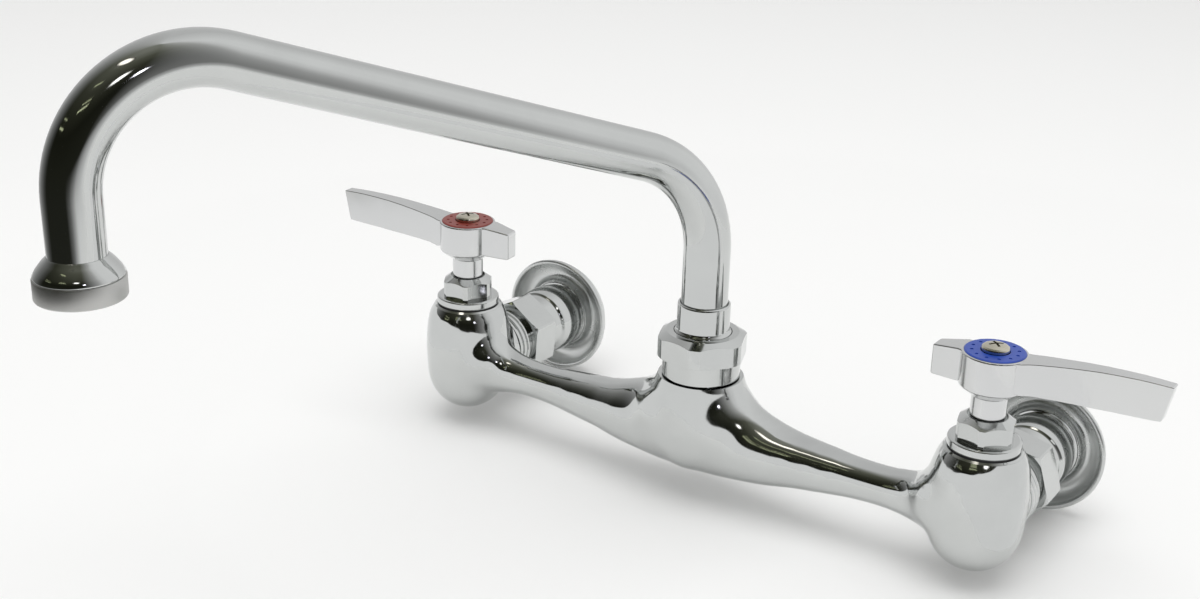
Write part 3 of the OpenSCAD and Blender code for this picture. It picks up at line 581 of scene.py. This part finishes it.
leverSet = {
    "edge": 0.5,  # soft edge on the bars and the hub
    "set": {"hot": 186.5, "cold": -0.8},  # where each lever points, degrees from +X
    # distance along the blade, half width, underside, top
    "blade": [(4.0, 6.0, 46.5, 54.6), (10.2, 5.0, 44.9, 55.2), (12.0, 4.6, 45.2, 55.6), (14.2, 4.35, 45.6, 56.0),
              (20.0, 3.8, 45.9, 56.8), (26.5, 3.35, 46.2, 57.6), (33.0, 2.9, 46.4, 58.2), (38.5, 2.65, 46.7, 58.5),
              (44.0, 2.4, 46.9, 58.7), (48.5, 2.25, 47.1, 58.7)],
    # the blade's end leans: its lower corner is shorter than the upper one
    "bladeEnd": [(52.2, 2.1, 47.2, 58.7), (52.6, 1.9, 47.45, 58.45)], "lean": -10.5,
    "tail": [(2.0, 6.4, 46.0, 54.6), (-10.2, 4.6, 44.4, 55.2), (-14.5, 3.7, 44.1, 54.5), (-18.2, 3.0, 43.9, 53.9),
             (-19.0, 2.7, 44.1, 53.6)],
    "hub": [(0, 33.7), (5.57, 33.7), (5.57, 41.2), (6.47, 41.6), (10.2, 44.4), (10.2, 55.2), (0, 55.2)],
    # cut from the hub: the ring's seat on top, and the bore for the spindle and the screw
    "seat": [(0, 54.5), (9.45, 54.5), (9.45, 70), (0, 70)],
    "bore": [(0, 30), (3.5, 30), (3.5, 48.05), (1.7, 48.05), (1.7, 60), (0, 60)],
}


def barAlong(name, stations, end=(), lean=0):  # a bar along X whose section changes from station to station
    x, half, low, high = stations[0]
    selectOnly()
    bpy.ops.mesh.primitive_plane_add(size=2 * mm, location=(x * mm, 0, (low + high) / 2 * mm),
                                     rotation=(0, math.pi / 2, 0))
    bar = settle(named(name))
    bpy.ops.object.mode_set(mode="EDIT")
    bpy.ops.mesh.select_all(action="SELECT")
    here = Vector((x, 0, (low + high) / 2)) * mm
    bpy.ops.transform.resize(value=(1, half, (high - low) / 2), center_override=here)
    row = stations + list(end)
    for i, ((x0, w0, l0, h0), (x1, w1, l1, h1)) in enumerate(zip(row, row[1:])):
        step = Vector((x1 - x0, 0, (l1 + h1 - l0 - h0) / 2)) * mm
        bpy.ops.mesh.extrude_region_move(TRANSFORM_OT_translate={"value": step})
        here = here + step
        if i == len(stations) - 1:
            bpy.ops.transform.rotate(value=math.radians(lean), orient_axis="Y", center_override=here)
        bpy.ops.transform.resize(value=(1, w1 / w0, (h1 - l1) / (h0 - l0)), center_override=here)
    mergeAndTurnOut()
    bpy.ops.object.mode_set(mode="OBJECT")
    return bar


def buildLever(side, s):
    lever = bevelled(turned(side + "LeverHandle", s["hub"], 120), s["edge"], 30, 3)
    for bar in (barAlong("blade", s["blade"], s["bladeEnd"], s["lean"]), barAlong("tail", s["tail"])):
        combined(lever, bevelled(bar, s["edge"], 30, 3), "UNION")
    for cut in ("seat", "bore"):
        combined(lever, turned(cut, s[cut]))
    way = Matrix.Rotation(math.radians(s["set"][side]), 4, "Z")
    smoothed(settle(lever, Matrix.Translation(valveAxis[side]) @ way), 40)
    return applyModifier(lever, "WEIGHTED_NORMAL", keep_sharp=True, weight=70)


for side in sides:
    fit(buildLever(side, leverSet), side + "_handle", [side + "_lever_handle"],
        finishes["chromeLever"])
print("levers done")


# CAD nodes that stay, each with its own finish

staying = {
    "spout_o_rings": "nitrileRubber", "spout_retaining_ring": "naturalNylon", "aerator_insert": "naturalNylon",
    "aerator_screen": "drawnSteel", "aerator_washer": "nitrileRubber",
}
sideStaying = {
    "bonnet_gasket": "nitrileRubber", "spindle": "machinedBrass", "spindle_o_rings": "nitrileRubber",
    "thrust_washer": "naturalNylon", "spindle_clip": "drawnSteel", "moving_disc": "laidCeramic",
    "fixed_disc": "laidCeramic", "seat_seal": "nitrileRubber", "handle_screw": "nickelPlate",
    "coupling_washer": "nitrileRubber", "nut_retaining_ring": "drawnSteel",
}
for side in sides:
    staying.update({side + "_" + node: finish for node, finish in sideStaying.items()})
    staying[side + "_index_ring"] = "redRing" if side == "hot" else "blueRing"
for node, finish in staying.items():
    frame["nodes"][node].material_slots[0].material = finishes[finish]


# floor, studio and light

studio = {
    "floorZ": -0.0234, "floorSize": 14, "floor": "#F8F8F7",
    "domeR": 2.5, "skirtR": 0.38, "skirtFade": 0.54,
    "trayR": 0.165, "trayTop": 0.038, "trayLight": 0.93, "trayCentre": (-0.031, -0.049), "trayArc": (-125, 95),
    "softLight": 0.86, "seenLight": 0.97,  # the background as light on the faucet, and as it is seen
    "lampPower": 12, "lampPlace": (0.1, -0.25, 1.6), "lampSize": 1.6,
}


def direction(az, el):  # az from the front (-Y) toward +X
    a, e = math.radians(az), math.radians(el)
    return Vector((math.sin(a) * math.cos(e), -math.cos(a) * math.cos(e), math.sin(e)))


def glossyOnly(obj):
    obj.visible_camera = False
    obj.visible_diffuse = False
    obj.visible_shadow = False
    obj.visible_transmission = False


def lightFinish(name, strength, tint="#FFFFFF"):
    finish = bpy.data.materials.new(name)
    finish.use_nodes = True
    tree = finish.node_tree
    tree.nodes.clear()
    glow = addNode(tree, "ShaderNodeEmission", {"Strength": strength, "Color": colour(tint)})
    addNode(tree, "ShaderNodeOutputMaterial", {"Surface": glow.outputs[0]})
    return finish, tree, glow


def addFloor(s):
    selectOnly()
    bpy.ops.mesh.primitive_plane_add(size=s["floorSize"], location=(0, 0, s["floorZ"]))
    floor = settle(named("floor"))
    finish, tree, shader, place = newFinish("paleTable")  # matt white laminate, faintly uneven
    shade = addNode(tree, "ShaderNodeTexNoise", {"Vector": place, "Scale": 6.0, "Detail": 2.0})
    gloss = addNode(tree, "ShaderNodeMapRange", {"Value": shade.outputs[0], "To Min": 0.75, "To Max": 0.85})
    tree.links.new(gloss.outputs[0], shader.inputs["Roughness"])
    shader.inputs["Base Color"].default_value = colour(s["floor"])
    shader.inputs["Specular IOR Level"].default_value = 0.1
    floor.data.materials.append(finish)


# what the plating mirrors, as directions seen from near the outlet
backdrop = {
    "centre": (-0.08, -0.24, 0.1),
    "clothZ": (-0.4, 1.0), "lowZ": (-0.3, -0.1), "paleX": (-0.3, 0.3),  # spans over the direction's parts
    # dark cloth in front: sine of the elevation, colour
    "cloth": ((-0.4, "#272823"), (0.0, "#22231C"), (0.3, "#1C1D16"), (0.5, "#2A2B22"), (0.7, "#3C3D33"),
              (0.87, "#595A4F"), (0.95, "#75766C"), (1.0, "#8A8B82")),
    # how much of the cloth is seen at each azimuth; the rest is the pale back
    "spread": ((-130, 0.0), (-112, 0.2), (-96, 0.45), (-80, 0.7), (-60, 0.92), (-48, 1.0), (60, 1.0),
               (68, 0.92), (82, 0.75), (98, 0.5), (110, 0.15), (124, 0.0)),
    # the same for what lies on the table
    "lowSpread": ((-130, 0.0), (-112, 0.2), (-96, 0.45), (-80, 0.7), (-60, 0.92), (-48, 1.0), (28, 1.0), (42, 0.82),
                  (54, 0.45), (64, 0.06), (76, 0.04), (90, 0.25), (104, 0.15), (124, 0.0)),
    "paleLeft": 0.68, "paleRight": 0.9,
}


def rampNode(tree, value, low, high, stops):
    part = addNode(tree, "ShaderNodeMapRange", {"Value": value, "From Min": low, "From Max": high}).outputs[0]
    made = addNode(tree, "ShaderNodeValToRGB", {"Fac": part})
    for at, _ in stops[2:]:
        made.color_ramp.elements.new((at - low) / (high - low))
    for element, (at, shade) in zip(made.color_ramp.elements, stops):
        element.position = (at - low) / (high - low)
        element.color = colour(shade) if isinstance(shade, str) else (shade, shade, shade, 1)
    return made.outputs[0]


def mixed(tree, factor, first, second):
    inputs = {"Factor": factor, mixA: first, mixB: second}
    return addNode(tree, "ShaderNodeMix", inputs, data_type="RGBA").outputs[mixOut]


def addDome(s, b):
    # pale behind, dark cloth in front, seen by reflections only
    r = s["domeR"]
    low = (s["floorZ"] + 0.001) / mm
    outline = [(s["skirtR"] / mm, low)] + arc(0, 0, r / mm, r / mm, -0.5, 90, 24)
    dome = turned("studioDome", outline, steps=72)
    dome.data.flip_normals()
    finish, tree, glow = lightFinish("studioCloth", 1.0)
    place = addNode(tree, "ShaderNodeTexCoord").outputs["Object"]
    moved = addNode(tree, "ShaderNodeVectorMath", {0: place, 1: b["centre"]}, operation="SUBTRACT").outputs[0]
    way = addNode(tree, "ShaderNodeVectorMath", {0: moved}, operation="NORMALIZE").outputs[0]
    parts = addNode(tree, "ShaderNodeSeparateXYZ", {0: way})
    cloth = rampNode(tree, parts.outputs["Z"], *b["clothZ"], b["cloth"])
    ahead = addNode(tree, "ShaderNodeMath", {0: parts.outputs["Y"], 1: -1.0}, operation="MULTIPLY").outputs[0]
    turn = addNode(tree, "ShaderNodeMath", {0: parts.outputs["X"], 1: ahead}, operation="ARCTAN2").outputs[0]
    azimuth = addNode(tree, "ShaderNodeMath", {0: turn}, operation="DEGREES").outputs[0]
    upper = rampNode(tree, azimuth, -180, 180, b["spread"])
    lower = rampNode(tree, azimuth, -180, 180, b["lowSpread"])
    height = addNode(tree, "ShaderNodeMapRange", {"Value": parts.outputs["Z"], "From Min": b["lowZ"][0],
                                                  "From Max": b["lowZ"][1]}).outputs[0]
    pale = addNode(tree, "ShaderNodeMapRange", {"Value": parts.outputs["X"], "From Min": b["paleX"][0],
                                                "From Max": b["paleX"][1], "To Min": b["paleLeft"],
                                                "To Max": b["paleRight"]}).outputs[0]
    spread = mixed(tree, height, lower, upper)
    level = mixed(tree, spread, pale, cloth)
    # the cloth on the table fades in from the pale table top
    out = addNode(tree, "ShaderNodeVectorMath", {0: place}, operation="LENGTH")
    fade = addNode(tree, "ShaderNodeMapRange", {"Value": out.outputs["Value"], "From Min": s["skirtR"],
                                                "From Max": s["skirtFade"]}, interpolation_type="SMOOTHSTEP")
    shown = mixed(tree, fade.outputs[0], colour(s["floor"]), level)
    tree.links.new(shown, glow.inputs["Color"])
    dome.data.materials.append(finish)
    glossyOnly(dome)


def addTray(s):
    # low pale wall round the front of the table, reflected in the lower half of the casting
    start, end = s["trayArc"]
    cx, cy = s["trayCentre"]
    first = direction(start, 0) * s["trayR"]
    selectOnly()
    bpy.ops.mesh.primitive_plane_add(size=mm, location=(cx + first.x, cy + first.y, s["floorZ"] + 0.0005))
    tray = named("lowTray")
    bpy.ops.object.mode_set(mode="EDIT")
    bpy.ops.mesh.merge(type="CENTER")
    bpy.ops.mesh.spin(steps=64, angle=math.radians(end - start), center=(cx, cy, 0), axis=(0, 0, -1))
    bpy.ops.mesh.select_all(action="SELECT")
    bpy.ops.mesh.extrude_edges_move(TRANSFORM_OT_translate={"value": (0, 0, s["trayTop"] - s["floorZ"])})
    bpy.ops.object.mode_set(mode="OBJECT")
    settle(tray)
    tray.data.materials.append(lightFinish("trayWall", s["trayLight"])[0])
    glossyOnly(tray)


def addStrip(name, start, end, away, wide, strength, tint):
    # a straight strip lamp between two directions, seen by reflections only
    a, b = direction(*start) * away, direction(*end) * away
    across = a.cross(b).normalized() * wide / 2
    selectOnly()
    bpy.ops.mesh.primitive_plane_add(size=1)
    strip = named(name)
    for v, corner in zip(strip.data.vertices, (a - across, b - across, a + across, b + across)):
        v.co = corner
    strip.data.materials.append(lightFinish(name + "Glow", strength, tint)[0])
    glossyOnly(strip)


def addSoftLamp(name, az, el, away, radius, stretch, strength, tint):
    # an oval lamp whose light falls off toward its rim, seen by reflections only
    selectOnly()
    bpy.ops.mesh.primitive_circle_add(vertices=48, radius=radius, fill_type="NGON")
    lamp = named(name)
    facing = direction(az, el).to_track_quat("Z", "Y").to_matrix().to_4x4()
    oval = Matrix.Diagonal((stretch, 1, 1, 1))
    lamp.matrix_world = Matrix.Translation(direction(az, el) * away) @ facing @ oval
    finish, tree, glow = lightFinish(name + "Glow", strength, tint)
    place = addNode(tree, "ShaderNodeTexCoord").outputs["Object"]
    out = addNode(tree, "ShaderNodeVectorMath", {0: place}, operation="LENGTH")
    fall = addNode(tree, "ShaderNodeMapRange", {"Value": out.outputs["Value"], "From Min": radius * 0.35,
                                                "From Max": radius, "To Min": strength, "To Max": 0.0},
                   interpolation_type="SMOOTHSTEP")
    tree.links.new(fall.outputs[0], glow.inputs["Strength"])
    lamp.data.materials.append(finish)
    glossyOnly(lamp)


def addLight(s):
    selectOnly()
    bpy.ops.object.light_add(type="AREA", location=s["lampPlace"])
    lamp = bpy.context.object
    lamp.name = "overheadSoftbox"
    lamp.data.shape = "DISK"
    lamp.data.size = s["lampSize"]
    lamp.data.energy = s["lampPower"]
    lamp.visible_glossy = False
    world = bpy.data.worlds.new("studio")
    bpy.context.scene.world = world
    world.use_nodes = True
    tree = world.node_tree
    tree.nodes.clear()
    rays = addNode(tree, "ShaderNodeLightPath")
    cameraOrGlossy = addNode(tree, "ShaderNodeMath", {0: rays.outputs["Is Camera Ray"],
                                                      1: rays.outputs["Is Glossy Ray"]}, operation="MAXIMUM")
    seen = addNode(tree, "ShaderNodeMath", {0: cameraOrGlossy.outputs[0], 1: rays.outputs["Is Transmission Ray"]},
                   operation="MAXIMUM")
    level = addNode(tree, "ShaderNodeMapRange", {"Value": seen.outputs[0], "To Min": s["softLight"],
                                                 "To Max": s["seenLight"]})
    glow = addNode(tree, "ShaderNodeBackground", {"Strength": level.outputs[0]})
    addNode(tree, "ShaderNodeOutputWorld", {"Surface": glow.outputs[0]})


# each strip: start and end as azimuth and elevation, distance, width, strength, tint
strips = {
    "highWindowA": ((-8, 31), (10, 32), 2.0, 0.04, 1.2, "#E6ECC0"),
    "highWindowB": ((-8, 35), (8, 36), 2.0, 0.03, 0.9, "#E6ECC0"),
    "farWindow": ((-16, 46), (-2, 48), 2.0, 0.04, 0.9, "#E6ECC0"),
    "lowWindowA": ((-42, 21.5), (-26, 22.5), 2.0, 0.04, 0.8, "#DDE3B8"),
    "lowWindowB": ((-42, 26), (-28, 27), 2.0, 0.03, 0.6, "#DDE3B8"),
}
# each soft lamp: azimuth, elevation, distance, radius, how many times wider than tall, strength, tint
softLamps = {
    "overheadLamp": (-9.5, 64, 2.2, 0.15, 3.0, 2.6, "#FFF9EC"),
    "sideLamp": (35, 38.5, 2.2, 0.17, 1.7, 3.0, "#FFFDF8"),
    "flashLamp": (55, 26, 2.0, 0.12, 1.0, 7.0, "#F4F1FF"),
}
addFloor(studio)
addDome(studio, backdrop)
addTray(studio)
for name, settings in strips.items():
    addStrip(name, *settings)
for name, settings in softLamps.items():
    addSoftLamp(name, *settings)
addLight(studio)
print("studio done")

bpy.context.scene.view_settings.view_transform = "Standard"
